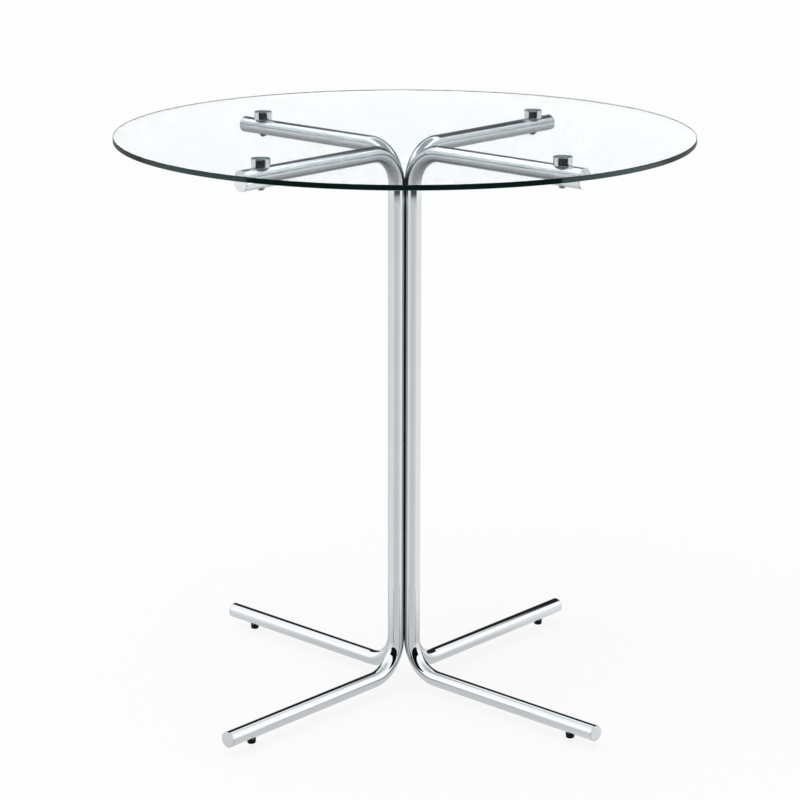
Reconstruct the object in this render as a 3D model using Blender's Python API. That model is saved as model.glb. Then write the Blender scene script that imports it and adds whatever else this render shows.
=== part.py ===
"""Round glass bar table: a clear disc carried by four bent tubes bundled into one post.

Units are metres and +Z is up. The origin lies on the floor under the middle of the post.
Each corner's tube leaves the post along its diagonal twice, as an arm and as a leg.
"""

import math

import bmesh
import bpy
from mathutils import Matrix

# The whole table
TABLE_HEIGHT = 0.910
GLASS_DIAMETER = 0.900
GLASS_THICKNESS = 0.008
GLASS_ARRIS = 0.0008

# The four bent tubes, measured from the table's axis to the outer face of their caps
TUBE_DIAMETER = 0.0254
TUBE_WALL = 0.0015
BEND_RADIUS = 0.055
ARM_REACH = 0.355
LEG_REACH = 0.401

# Fluted bars hidden between the tubes of the post
CORE_COUNT = 3
CORE_LENGTH = 0.040
CORE_TIP_REACH = 0.0085
CORE_END_MARGIN = 0.012

# Pucks that carry the glass, set back from the arm cap's outer face
PUCK_SET_BACK = 0.042
PUCK_DIAMETER = 0.0288
PUCK_STANDOFF = 0.0125
PUCK_SADDLE_DEPTH = 0.002
PUCK_TOP_CHAMFER = 0.0006
PUCK_BASE_CHAMFER = 0.0018

# Screws from below each arm, with their curved washers
SCREW_DIAMETER = 0.006
SCREW_ENGAGEMENT = 0.008
SCREW_END_ROOM = 0.001
SCREW_TIP_CHAMFER = 0.0008
HEAD_DIAMETER = 0.0095
HEAD_HEIGHT = 0.0018
HEAD_EDGE_HEIGHT = 0.0005
HEAD_CROWN_WIDTH = 0.0008
SOCKET_WIDTH = 0.004
SOCKET_DEPTH = 0.0011
WASHER_DIAMETER = 0.0115
WASHER_THICKNESS = 0.0006

# Caps in the tube ends
CAP_THICKNESS = 0.002
CAP_EDGE_ROUND = 0.0005
CAP_STEM_LENGTH = 0.010
CAP_STEM_WALL = 0.0015
CAP_STEM_TAPER = 0.0004

# Levelling feet, set back from the leg cap's outer face
FOOT_SET_BACK = 0.051
FOOT_TRAVEL = 0.008
LEG_CLEARANCE = 0.008
PAD_TOP_DIAMETER = 0.0144
PAD_BASE_DIAMETER = 0.0130
PAD_EDGE_ROUND = 0.0012
PAD_FLOOR = 0.0015
STUD_DIAMETER = 0.006
STUD_TIP_CHAMFER = 0.0006
STUD_HEAD_DIAMETER = 0.0095
STUD_HEAD_HEIGHT = 0.0028
INSERT_DIAMETER = 0.009
INSERT_LENGTH = 0.0105
INSERT_FLANGE_DIAMETER = 0.0108
INSERT_FLANGE_THICKNESS = 0.0008
INSERT_BULGE_DIAMETER = 0.0116
INSERT_BULGE_HEIGHT = 0.0024

# Gaps between pieces that touch, how far a cutter overshoots its piece, and the size of axis marks
SEAT_GAP = 0.0003
CUT_OVERSHOOT = 0.002
MERGE_DISTANCE = 0.000001
AXIS_MARK_SIZE = 0.03

# Facets round each piece
TUBE_SIDES = 20
BEND_STEPS = 7
GLASS_SIDES = 96
PUCK_SIDES = 24
PAD_SIDES = 20
FASTENER_SIDES = 16
HEX_SIDES = 6
HEAD_DOME_STEPS = 4
PAD_EDGE_STEPS = 2
FLUTE_STEPS = 5
SHARP_ANGLE = math.radians(35)

# Each corner's diagonal, turned from +X
CORNERS = {
    "front_right": math.radians(-45),
    "back_right": math.radians(45),
    "back_left": math.radians(135),
    "front_left": math.radians(-135),
}
CORE_NAMES = ("low", "middle", "high")

# Radii, places and heights that follow from the sizes above
PUCK_REACH = ARM_REACH - PUCK_SET_BACK
FOOT_REACH = LEG_REACH - FOOT_SET_BACK
TUBE_RADIUS = TUBE_DIAMETER / 2
BORE_RADIUS = TUBE_RADIUS - TUBE_WALL
SEAT_RADIUS = TUBE_RADIUS + SEAT_GAP
TUBE_PITCH = TUBE_DIAMETER + SEAT_GAP
POST_OFFSET = TUBE_PITCH / math.sqrt(2)
GLASS_UNDERSIDE = TABLE_HEIGHT - GLASS_THICKNESS
ARM_TOP = GLASS_UNDERSIDE - PUCK_STANDOFF
ARM_AXIS = ARM_TOP - TUBE_RADIUS
ARM_BOTTOM = ARM_AXIS - TUBE_RADIUS
LEG_BOTTOM = LEG_CLEARANCE
LEG_AXIS = LEG_BOTTOM + TUBE_RADIUS
POST_LOW = LEG_AXIS + BEND_RADIUS
POST_HIGH = ARM_AXIS - BEND_RADIUS


def clear_scene():
    for item in list(bpy.data.objects):
        bpy.data.objects.remove(item, do_unlink=True)


def material(name, colour, roughness, metallic=0.0, transmission=0.0, ior=1.5):
    """A Principled material; colour is linear red, green and blue."""
    finish = bpy.data.materials.new(name)
    finish.use_nodes = True
    shader = finish.node_tree.nodes["Principled BSDF"]
    shader.inputs["Base Color"].default_value = (*colour, 1.0)
    shader.inputs["Roughness"].default_value = roughness
    shader.inputs["Metallic"].default_value = metallic
    shader.inputs["Transmission Weight"].default_value = transmission
    shader.inputs["IOR"].default_value = ior
    finish.diffuse_color = (*colour, 1.0)
    finish.metallic = metallic
    finish.roughness = roughness
    return finish


def glass_material():
    return material("clear_float_glass", (0.92, 0.97, 0.95), 0.0, transmission=1.0, ior=1.52)


def chrome_material():
    return material("chromed_steel", (0.62, 0.64, 0.66), 0.05, metallic=1.0)


def puck_material():
    return material("polished_stainless", (0.56, 0.57, 0.58), 0.12, metallic=1.0)


def fastener_material():
    return material("stainless_fastener", (0.40, 0.40, 0.41), 0.3, metallic=1.0)


def zinc_material():
    return material("zinc_plated_steel", (0.50, 0.51, 0.53), 0.35, metallic=1.0)


def pad_material():
    return material("black_nylon", (0.012, 0.012, 0.013), 0.5)


def empty(name, parent=None, location=(0, 0, 0), turn=0.0):
    """A named axis that pieces are hung on."""
    axis = bpy.data.objects.new(name, None)
    axis.empty_display_size = AXIS_MARK_SIZE
    axis.parent = parent
    axis.location = location
    axis.rotation_euler = (0.0, 0.0, turn)
    bpy.context.scene.collection.objects.link(axis)
    return axis


def piece(name, mesh, finish, parent=None, location=(0, 0, 0)):
    """One sub-part: a named object that may share its mesh with its copies."""
    body = bpy.data.objects.new(name, mesh)
    body.parent = parent
    body.location = location
    bpy.context.scene.collection.objects.link(body)
    if not mesh.materials:
        mesh.materials.append(finish)
    return body


def finished_mesh(name, shape):
    """Turn a bmesh into a smooth-shaded mesh with sharp corners, faces pointing out."""
    bmesh.ops.recalc_face_normals(shape, faces=shape.faces)
    mesh = bpy.data.meshes.new(name)
    shape.to_mesh(mesh)
    shape.free()
    mesh.shade_smooth()
    mesh.set_sharp_from_angle(angle=SHARP_ANGLE)
    return mesh


def turned(name, profile, sides=FASTENER_SIDES, closed=False):
    """Spin (radius, height) points about Z; closed joins the last point to the first."""
    shape = bmesh.new()
    points = [shape.verts.new((radius, 0.0, height)) for radius, height in profile]
    edges = [shape.edges.new(pair) for pair in zip(points, points[1:])]
    if closed:
        edges.append(shape.edges.new((points[-1], points[0])))
    bmesh.ops.spin(
        shape,
        geom=points + edges,
        cent=(0, 0, 0),
        axis=(0, 0, 1),
        angle=math.tau,
        steps=sides,
        use_merge=True,
    )
    bmesh.ops.remove_doubles(shape, verts=shape.verts, dist=MERGE_DISTANCE)
    return finished_mesh(name, shape)


def prism(name, outline, low, high):
    """Extrude a closed outline of (x, y) points from one height to another."""
    shape = bmesh.new()
    ring = [shape.verts.new((x, y, low)) for x, y in outline]
    base = shape.faces.new(ring)
    grown = bmesh.ops.extrude_face_region(shape, geom=[base])["geom"]
    risen = [item for item in grown if isinstance(item, bmesh.types.BMVert)]
    bmesh.ops.translate(shape, verts=risen, vec=(0, 0, high - low))
    return finished_mesh(name, shape)


def regular_outline(radius, sides):
    """Corners of a regular polygon, the first one on +X."""
    corners = [math.tau * step / sides for step in range(sides)]
    return [(radius * math.cos(angle), radius * math.sin(angle)) for angle in corners]


def carved(mesh, cutters):
    """The mesh with each cutter mesh taken out of it."""
    block = bpy.data.objects.new(mesh.name + "_block", mesh)
    bpy.context.scene.collection.objects.link(block)
    tools = []
    for cutter in cutters:
        tool = bpy.data.objects.new(cutter.name, cutter)
        tool.hide_render = True
        tool.display_type = "WIRE"
        bpy.context.scene.collection.objects.link(tool)
        cut = block.modifiers.new(cutter.name, "BOOLEAN")
        cut.operation = "DIFFERENCE"
        cut.object = tool
        tools.append(tool)
    graph = bpy.context.evaluated_depsgraph_get()
    result = bpy.data.meshes.new_from_object(block.evaluated_get(graph))
    result.name = mesh.name + "_carved"
    for helper in tools + [block]:
        bpy.data.objects.remove(helper, do_unlink=True)
    result.shade_smooth()
    result.set_sharp_from_angle(angle=SHARP_ANGLE)
    return result


def drill(name, radius, reach, low, high):
    """Upright round cutter standing on the diagonal at the given reach."""
    mesh = prism(name, regular_outline(radius, FASTENER_SIDES), low, high)
    mesh.transform(Matrix.Translation((reach, 0, 0)))
    return mesh


def arm_saddle(length):
    """Lying cutter with the arm's round outside, centred on the piece that it cuts."""
    outline = regular_outline(SEAT_RADIUS, TUBE_SIDES)
    mesh = prism("arm_saddle", outline, -length / 2, length / 2)
    lying = Matrix.Rotation(math.pi / 2, 4, "Y")
    mesh.transform(Matrix.Translation((0, 0, ARM_AXIS)) @ lying)
    return mesh


def tube_path():
    """Stations (reach, height, heading) down the tube's centre line, arm end first."""
    stations = [(ARM_REACH - CAP_THICKNESS - SEAT_GAP, ARM_AXIS, math.pi)]
    bend_reach = POST_OFFSET + BEND_RADIUS
    for first_heading, centre_height in ((math.pi, POST_HIGH), (1.5 * math.pi, POST_LOW)):
        for step in range(BEND_STEPS + 1):
            heading = first_heading + 0.5 * math.pi * step / BEND_STEPS
            reach = bend_reach + BEND_RADIUS * math.sin(heading)
            height = centre_height - BEND_RADIUS * math.cos(heading)
            stations.append((reach, height, heading))
    stations.append((LEG_REACH - CAP_THICKNESS - SEAT_GAP, LEG_AXIS, math.tau))
    return stations


def section_ring(shape, station, radius):
    """One ring of vertices square to the centre line."""
    reach, height, heading = station
    ring = []
    for step in range(TUBE_SIDES):
        angle = math.tau * step / TUBE_SIDES
        inward = radius * math.cos(angle)
        across = radius * math.sin(angle)
        x = reach - inward * math.sin(heading)
        z = height + inward * math.cos(heading)
        ring.append(shape.verts.new((x, across, z)))
    return ring


def join_rings(shape, first, second):
    """Close the band between two rings with quads."""
    for step in range(TUBE_SIDES):
        after = (step + 1) % TUBE_SIDES
        shape.faces.new((first[step], first[after], second[after], second[step]))


def bent_tube():
    """Hollow C of tube: arm, bend, post, bend and leg, drilled for its screw and insert."""
    shape = bmesh.new()
    path = tube_path()
    outside = [section_ring(shape, station, TUBE_RADIUS) for station in path]
    bore = [section_ring(shape, station, BORE_RADIUS) for station in path]
    for rings in (outside, bore):
        for first, second in zip(rings, rings[1:]):
            join_rings(shape, first, second)
    for end in (0, -1):
        join_rings(shape, outside[end], bore[end])
    screw_hole = drill(
        "screw_hole",
        SCREW_DIAMETER / 2 + SEAT_GAP,
        PUCK_REACH,
        ARM_BOTTOM - CUT_OVERSHOOT,
        ARM_TOP + CUT_OVERSHOOT,
    )
    insert_hole = drill(
        "insert_hole",
        INSERT_DIAMETER / 2 + SEAT_GAP,
        FOOT_REACH,
        LEG_BOTTOM - CUT_OVERSHOOT,
        LEG_AXIS,
    )
    return carved(finished_mesh("bent_tube", shape), [screw_hole, insert_hole])


def glass_disc():
    """Flat disc with a small flat arris along both edges."""
    radius = GLASS_DIAMETER / 2
    profile = [
        (0, TABLE_HEIGHT),
        (radius - GLASS_ARRIS, TABLE_HEIGHT),
        (radius, TABLE_HEIGHT - GLASS_ARRIS),
        (radius, GLASS_UNDERSIDE + GLASS_ARRIS),
        (radius - GLASS_ARRIS, GLASS_UNDERSIDE),
        (0, GLASS_UNDERSIDE),
    ]
    return turned("glass_disc", profile, GLASS_SIDES)


def core_bar():
    """Bar with four concave flutes that fills the middle of the post; its base is at zero."""
    centre = TUBE_PITCH / 2
    half_sweep = math.pi / 4 - math.asin((centre - CORE_TIP_REACH) / SEAT_RADIUS)
    outline = []
    for corner in range(4):
        diagonal = math.pi / 4 + corner * math.pi / 2
        tube_x = POST_OFFSET * math.cos(diagonal)
        tube_y = POST_OFFSET * math.sin(diagonal)
        for step in range(FLUTE_STEPS + 1):
            sweep = half_sweep * (1 - 2 * step / FLUTE_STEPS)
            towards_middle = diagonal + math.pi + sweep
            x = tube_x + SEAT_RADIUS * math.cos(towards_middle)
            y = tube_y + SEAT_RADIUS * math.sin(towards_middle)
            outline.append((x, y))
    return prism("core_bar", outline, 0, CORE_LENGTH)


def puck():
    """Round puck with a blind threaded hole and a saddle that sits on the arm."""
    radius = PUCK_DIAMETER / 2
    hole = SCREW_DIAMETER / 2 + SEAT_GAP
    top = GLASS_UNDERSIDE - SEAT_GAP
    base = ARM_TOP - PUCK_SADDLE_DEPTH
    hole_end = ARM_TOP + SCREW_ENGAGEMENT + SCREW_END_ROOM
    profile = [
        (0, top),
        (radius - PUCK_TOP_CHAMFER, top),
        (radius, top - PUCK_TOP_CHAMFER),
        (radius, base + PUCK_BASE_CHAMFER),
        (radius - PUCK_BASE_CHAMFER, base),
        (hole, base),
        (hole, hole_end),
        (0, hole_end),
    ]
    saddle = arm_saddle(PUCK_DIAMETER + 2 * CUT_OVERSHOOT)
    return carved(turned("puck", profile, PUCK_SIDES), [saddle])


def curved_washer():
    """Washer that is flat under the screw head and hollowed to the arm above."""
    hole = SCREW_DIAMETER / 2 + SEAT_GAP
    radius = WASHER_DIAMETER / 2
    base = ARM_BOTTOM - SEAT_GAP - WASHER_THICKNESS
    rim = ARM_AXIS - math.sqrt(SEAT_RADIUS**2 - radius**2)
    profile = [(radius, rim), (radius, base), (hole, base), (hole, rim)]
    saddle = arm_saddle(WASHER_DIAMETER + 2 * CUT_OVERSHOOT)
    return carved(turned("curved_washer", profile, closed=True), [saddle])


def arm_screw():
    """Domed screw with a hexagon socket; its plain shank stands for the thread."""
    shank = SCREW_DIAMETER / 2
    head = HEAD_DIAMETER / 2
    head_top = ARM_BOTTOM - WASHER_THICKNESS - 2 * SEAT_GAP
    head_base = head_top - HEAD_HEIGHT
    tip = ARM_TOP + SCREW_ENGAGEMENT
    profile = [(0, tip), (shank - SCREW_TIP_CHAMFER, tip), (shank, tip - SCREW_TIP_CHAMFER)]
    profile += [(shank, head_top), (head, head_top)]
    dome_height = HEAD_HEIGHT - HEAD_EDGE_HEIGHT
    crown = SOCKET_WIDTH / 2 + HEAD_CROWN_WIDTH
    for step in range(HEAD_DOME_STEPS + 1):
        angle = 0.5 * math.pi * step / HEAD_DOME_STEPS
        radius = crown + (head - crown) * math.cos(angle)
        profile.append((radius, head_base + dome_height * (1 - math.sin(angle))))
    profile.append((0, head_base))
    corner_radius = SOCKET_WIDTH / 2 / math.cos(math.pi / HEX_SIDES)
    socket_low = head_base - CUT_OVERSHOOT
    socket_high = head_base + SOCKET_DEPTH
    outline = regular_outline(corner_radius, HEX_SIDES)
    socket = prism("hexagon_socket", outline, socket_low, socket_high)
    return carved(turned("arm_screw", profile), [socket])


def end_cap():
    """Flat cap flush with the tube, on a hollow stem; its outer face lies at zero, facing +X."""
    stem = BORE_RADIUS - SEAT_GAP
    stem_end = -CAP_THICKNESS - CAP_STEM_LENGTH
    profile = [
        (0, 0),
        (TUBE_RADIUS - CAP_EDGE_ROUND, 0),
        (TUBE_RADIUS, -CAP_EDGE_ROUND),
        (TUBE_RADIUS, -CAP_THICKNESS),
        (stem, -CAP_THICKNESS),
        (stem - CAP_STEM_TAPER, stem_end),
        (stem - CAP_STEM_WALL, stem_end),
        (stem - CAP_STEM_WALL, -CAP_THICKNESS),
        (0, -CAP_THICKNESS),
    ]
    mesh = turned("end_cap", profile, TUBE_SIDES)
    mesh.transform(Matrix.Rotation(math.pi / 2, 4, "Y"))
    return mesh


def bore_floor(radius):
    """Height at which a ring of this radius clears the leg's curved inner wall."""
    flat_radius = BORE_RADIUS * math.cos(math.pi / TUBE_SIDES)
    return LEG_AXIS - math.sqrt(flat_radius**2 - radius**2) + SEAT_GAP


def foot_insert():
    """Rivet nut: a flange under the leg, a body through its wall and a bulge set inside."""
    thread = STUD_DIAMETER / 2 + SEAT_GAP
    body = INSERT_DIAMETER / 2
    flange = INSERT_FLANGE_DIAMETER / 2
    bulge = INSERT_BULGE_DIAMETER / 2
    flange_top = LEG_BOTTOM - SEAT_GAP
    flange_base = flange_top - INSERT_FLANGE_THICKNESS
    bulge_base = bore_floor(bulge)
    top = LEG_BOTTOM + INSERT_LENGTH
    profile = [
        (thread, flange_base),
        (flange, flange_base),
        (flange, flange_top),
        (body, flange_top),
        (body, bulge_base),
        (bulge, bulge_base),
        (bulge, bulge_base + INSERT_BULGE_HEIGHT / 2),
        (body, bulge_base + INSERT_BULGE_HEIGHT),
        (body, top),
        (thread, top),
    ]
    return turned("foot_insert", profile, closed=True)


def foot_pad():
    """Tapered pad moulded over the stud's head, with a shallow nest for the insert's flange."""
    top_radius = PAD_TOP_DIAMETER / 2
    base_radius = PAD_BASE_DIAMETER / 2
    top = LEG_BOTTOM - SEAT_GAP
    nest = INSERT_FLANGE_DIAMETER / 2 + SEAT_GAP
    nest_floor = top - INSERT_FLANGE_THICKNESS - SEAT_GAP
    neck = STUD_DIAMETER / 2 + SEAT_GAP
    pocket = STUD_HEAD_DIAMETER / 2 + SEAT_GAP
    pocket_top = PAD_FLOOR + STUD_HEAD_HEIGHT + 2 * SEAT_GAP
    profile = [(0, 0)]
    for step in range(PAD_EDGE_STEPS + 1):
        angle = 0.5 * math.pi * step / PAD_EDGE_STEPS
        radius = base_radius - PAD_EDGE_ROUND * (1 - math.sin(angle))
        profile.append((radius, PAD_EDGE_ROUND * (1 - math.cos(angle))))
    profile += [
        (top_radius, top),
        (nest, top),
        (nest, nest_floor),
        (neck, nest_floor),
        (neck, pocket_top),
        (pocket, pocket_top),
        (pocket, PAD_FLOOR),
        (0, PAD_FLOOR),
    ]
    return turned("foot_pad", profile, PAD_SIDES)


def foot_stud():
    """Threaded stud with a round head, long enough to stay in its insert at full travel."""
    radius = STUD_DIAMETER / 2
    head = STUD_HEAD_DIAMETER / 2
    base = PAD_FLOOR + SEAT_GAP
    head_top = base + STUD_HEAD_HEIGHT
    tip = LEG_BOTTOM + INSERT_LENGTH + FOOT_TRAVEL
    profile = [
        (0, base),
        (head, base),
        (head, head_top),
        (radius, head_top),
        (radius, tip - STUD_TIP_CHAMFER),
        (radius - STUD_TIP_CHAMFER, tip),
        (0, tip),
    ]
    return turned("foot_stud", profile)


def place_cores(finish):
    """Fluted bars spread evenly along the straight of the post."""
    mesh = core_bar()
    lowest = POST_LOW + CORE_END_MARGIN
    highest = POST_HIGH - CORE_END_MARGIN - CORE_LENGTH
    for index in range(CORE_COUNT):
        height = lowest + (highest - lowest) * index / (CORE_COUNT - 1)
        piece(f"post_core_{CORE_NAMES[index]}", mesh, finish, location=(0, 0, height))


def build_table():
    clear_scene()
    chrome = chrome_material()
    steel = fastener_material()
    zinc = zinc_material()
    stainless = puck_material()
    nylon = pad_material()

    piece("glass_top", glass_disc(), glass_material())
    place_cores(zinc)

    tube_mesh = bent_tube()
    puck_mesh = puck()
    washer_mesh = curved_washer()
    screw_mesh = arm_screw()
    cap_mesh = end_cap()
    insert_mesh = foot_insert()
    pad_mesh = foot_pad()
    stud_mesh = foot_stud()

    for corner, diagonal in CORNERS.items():
        frame = empty(f"diagonal_{corner}", turn=diagonal)
        piece(f"tube_{corner}", tube_mesh, chrome, frame)
        piece(f"arm_cap_{corner}", cap_mesh, chrome, frame, (ARM_REACH, 0, ARM_AXIS))
        piece(f"leg_cap_{corner}", cap_mesh, chrome, frame, (LEG_REACH, 0, LEG_AXIS))
        at_puck = (PUCK_REACH, 0, 0)
        piece(f"glass_puck_{corner}", puck_mesh, stainless, frame, at_puck)
        piece(f"saddle_washer_{corner}", washer_mesh, steel, frame, at_puck)
        piece(f"puck_screw_{corner}", screw_mesh, steel, frame, at_puck)
        at_foot = (FOOT_REACH, 0, 0)
        piece(f"foot_insert_{corner}", insert_mesh, zinc, frame, at_foot)
        foot_axis = empty(f"foot_axis_{corner}", frame, at_foot)
        piece(f"foot_pad_{corner}", pad_mesh, nylon, foot_axis)
        piece(f"foot_stud_{corner}", stud_mesh, zinc, foot_axis)


build_table()
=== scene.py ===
"""Looks of the round glass bar table: fine shapes, finishes, studio and camera.

Units are metres and +Z is up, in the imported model's frame. Each corner's pieces are made in its own
diagonal frame, with reach along +X and height along +Z, and then turned about Z to their corner.
"""

import math

import bmesh
import bpy
from mathutils import Matrix, Vector


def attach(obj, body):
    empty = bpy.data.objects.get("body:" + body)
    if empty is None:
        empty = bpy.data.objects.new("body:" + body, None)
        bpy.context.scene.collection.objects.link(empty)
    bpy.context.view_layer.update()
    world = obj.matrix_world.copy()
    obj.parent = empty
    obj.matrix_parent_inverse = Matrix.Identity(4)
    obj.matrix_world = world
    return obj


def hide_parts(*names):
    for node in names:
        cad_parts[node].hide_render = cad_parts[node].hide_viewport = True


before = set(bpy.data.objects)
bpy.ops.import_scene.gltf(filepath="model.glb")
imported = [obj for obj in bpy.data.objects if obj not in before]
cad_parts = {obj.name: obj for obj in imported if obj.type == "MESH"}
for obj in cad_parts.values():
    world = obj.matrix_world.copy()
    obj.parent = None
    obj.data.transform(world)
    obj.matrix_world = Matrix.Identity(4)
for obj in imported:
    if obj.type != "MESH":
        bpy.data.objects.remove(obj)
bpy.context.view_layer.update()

# Sizes of the table, as in the part's source
TABLE_HEIGHT = 0.910
GLASS_RADIUS = 0.450
GLASS_THICKNESS = 0.008
GLASS_ARRIS = 0.0008
TUBE_RADIUS = 0.0127
TUBE_WALL = 0.0015
BEND_RADIUS = 0.055
ARM_REACH = 0.355
LEG_REACH = 0.401
PUCK_REACH = 0.313
FOOT_REACH = 0.350
PUCK_RADIUS = 0.0144
PUCK_STANDOFF = 0.0125
PUCK_SADDLE_DEPTH = 0.002
PUCK_BASE_CHAMFER = 0.0018
PUCK_BASE_ROUNDING = 0.0006
SCREW_RADIUS = 0.003
SCREW_ENGAGEMENT = 0.008
HEAD_RADIUS = 0.00475
HEAD_HEIGHT = 0.0018
HEAD_EDGE_HEIGHT = 0.0005
SOCKET_WIDTH = 0.004
SOCKET_DEPTH = 0.0011
WASHER_RADIUS = 0.00575
WASHER_THICKNESS = 0.0006
CAP_THICKNESS = 0.002
CAP_RIM_ROUNDING = 0.0005
CAP_STEM_LENGTH = 0.010
CAP_STEM_WALL = 0.0015
LEG_CLEARANCE = 0.008
FOOT_TRAVEL = 0.008
PAD_TOP_RADIUS = 0.0072
PAD_BASE_RADIUS = 0.0065
PAD_BASE_ROUNDING = 0.0011
PAD_FLOOR = 0.0015
STUD_HEAD_RADIUS = 0.00475
STUD_HEAD_HEIGHT = 0.0028
INSERT_RADIUS = 0.0045
INSERT_LENGTH = 0.0105
INSERT_FLANGE_RADIUS = 0.0054
INSERT_FLANGE_THICKNESS = 0.0008
INSERT_BULGE_RADIUS = 0.0058
INSERT_BULGE_HEIGHT = 0.0024
SEAT_GAP = 0.0003
THREAD_PITCH = 0.001
THREAD_DEPTH = 0.0006
TIP_CLEARANCE = 0.001

# Roundings of worked edges, from a cut one to a tumbled one
CUT_EDGE = 0.0001
BROKEN_EDGE = 0.0002
EASED_EDGE = 0.0003
TUMBLED_EDGE = 0.0004

# The puck's top under its clear adhesive: how deep and how level a face counts as top, and the radius from
# which its pale painted light fades to dark grey at the rim
BOND_FACE_DEPTH = 0.00003
BOND_FACE_UP = 0.99
PAINTED_LIGHT_RADIUS = 0.005

# Heights and reaches that follow from them
BORE_RADIUS = TUBE_RADIUS - TUBE_WALL
SEAT_RADIUS = TUBE_RADIUS + SEAT_GAP
POST_OFFSET = (2 * TUBE_RADIUS + SEAT_GAP) / math.sqrt(2)
GLASS_UNDERSIDE = TABLE_HEIGHT - GLASS_THICKNESS
ARM_TOP = GLASS_UNDERSIDE - PUCK_STANDOFF
ARM_AXIS = ARM_TOP - TUBE_RADIUS
ARM_BOTTOM = ARM_AXIS - TUBE_RADIUS
LEG_AXIS = LEG_CLEARANCE + TUBE_RADIUS
POST_LOW = LEG_AXIS + BEND_RADIUS
POST_HIGH = ARM_AXIS - BEND_RADIUS
BEND_REACH = POST_OFFSET + BEND_RADIUS

# Facets of the fine shapes
GLASS_SIDES = 288
TUBE_SIDES = 96
BEND_STEPS = 32
ROUND_SIDES = 96
SMALL_SIDES = 48
THREAD_SIDES = 32
THREAD_STEPS = 6
DOME_STEPS = 12
ROUNDING_STEPS = 4
SHARP_ANGLE = math.radians(35)
MERGE_DISTANCE = 1e-6
# How far a cutter reaches past what it cuts
OVERSHOOT = 0.002
# Distance of the tube's rings from the middle of its screw hole and of its insert hole
SCREW_HOLE_RING = 0.006
INSERT_HOLE_RING = 0.008
# A face turned this far from level belongs to the glass's edge; one that looks this far along the tube's
# radius belongs to its inside or outside, and not to a hole or an end
EDGE_BAND_LEVEL = 0.97
WALL_FACING = 0.9
# A point this near to the shank's radius lies on it. The flanks rise this much faster than the pitch, which
# leaves a flat crest
ON_SHANK = 1e-5
THREAD_FLANK = 1.15

CORNERS = {
    "front_right": math.radians(-45),
    "back_right": math.radians(45),
    "back_left": math.radians(135),
    "front_left": math.radians(-135),
}


# Meshes


def rounded(corners, steps=ROUNDING_STEPS):
    """Outline of (radius, height) from corners of (radius, height, rounding)."""
    outline = []
    for index, (radius, height, rounding) in enumerate(corners):
        here = Vector((radius, height))
        if not rounding:
            outline.append(tuple(here))
            continue
        before = (Vector(corners[index - 1][:2]) - here).normalized()
        after = (Vector(corners[(index + 1) % len(corners)][:2]) - here).normalized()
        half = before.angle(after) / 2
        middle = here + (before + after).normalized() * rounding / math.sin(half)
        first = here + before * rounding / math.tan(half) - middle
        last = here + after * rounding / math.tan(half) - middle
        sweep = first.angle_signed(last)
        for step in range(steps + 1):
            outline.append(tuple(middle + Matrix.Rotation(-sweep * step / steps, 2) @ first))
    return outline


def finished(name, shape):
    """The bmesh as a smooth mesh with sharp corners, its faces pointing out."""
    bmesh.ops.recalc_face_normals(shape, faces=shape.faces)
    mesh = bpy.data.meshes.new(name)
    shape.to_mesh(mesh)
    shape.free()
    mesh.shade_smooth()
    mesh.set_sharp_from_angle(angle=SHARP_ANGLE)
    return mesh


def turned(name, outline, sides, closed=False):
    """Spin an outline of (radius, height) about Z; closed joins its last point to its first."""
    shape = bmesh.new()
    points = [shape.verts.new((radius, 0.0, height)) for radius, height in outline]
    edges = [shape.edges.new(pair) for pair in zip(points, points[1:])]
    if closed:
        edges.append(shape.edges.new((points[-1], points[0])))
    bmesh.ops.spin(
        shape,
        geom=points + edges,
        cent=(0, 0, 0),
        axis=(0, 0, 1),
        angle=math.tau,
        steps=sides,
        use_merge=True,
    )
    bmesh.ops.remove_doubles(shape, verts=shape.verts, dist=MERGE_DISTANCE)
    return finished(name, shape)


def bar(name, radius, sides, low, high, centre=(0.0, 0.0)):
    """Upright cutter with a regular outline."""
    shape = bmesh.new()
    ring = []
    for step in range(sides):
        angle = math.tau * step / sides
        x = centre[0] + radius * math.cos(angle)
        y = centre[1] + radius * math.sin(angle)
        ring.append(shape.verts.new((x, y, low)))
    base = shape.faces.new(ring)
    grown = bmesh.ops.extrude_face_region(shape, geom=[base])["geom"]
    risen = [item for item in grown if isinstance(item, bmesh.types.BMVert)]
    bmesh.ops.translate(shape, verts=risen, vec=(0, 0, high - low))
    return finished(name, shape)


def carved(mesh, cutters):
    """The mesh with each cutter mesh taken out of it."""
    block = bpy.data.objects.new(mesh.name + "_block", mesh)
    bpy.context.scene.collection.objects.link(block)
    tools = []
    for cutter in cutters:
        tool = bpy.data.objects.new(cutter.name, cutter)
        tool.hide_render = True
        bpy.context.scene.collection.objects.link(tool)
        cut = block.modifiers.new(cutter.name, "BOOLEAN")
        cut.operation = "DIFFERENCE"
        cut.object = tool
        tools.append(tool)
    graph = bpy.context.evaluated_depsgraph_get()
    result = bpy.data.meshes.new_from_object(block.evaluated_get(graph))
    result.name = mesh.name + "_carved"
    for helper in tools + [block]:
        bpy.data.objects.remove(helper, do_unlink=True)
    result.shade_smooth()
    result.set_sharp_from_angle(angle=SHARP_ANGLE)
    return result


def arm_saddle(length):
    """Cutter with the arm's round outside, lying along X through the middle of its piece."""
    mesh = bar("arm_saddle", SEAT_RADIUS, TUBE_SIDES, -length / 2, length / 2)
    mesh.transform(Matrix.Translation((0, 0, ARM_AXIS)) @ Matrix.Rotation(math.pi / 2, 4, "Y"))
    return mesh


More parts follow.
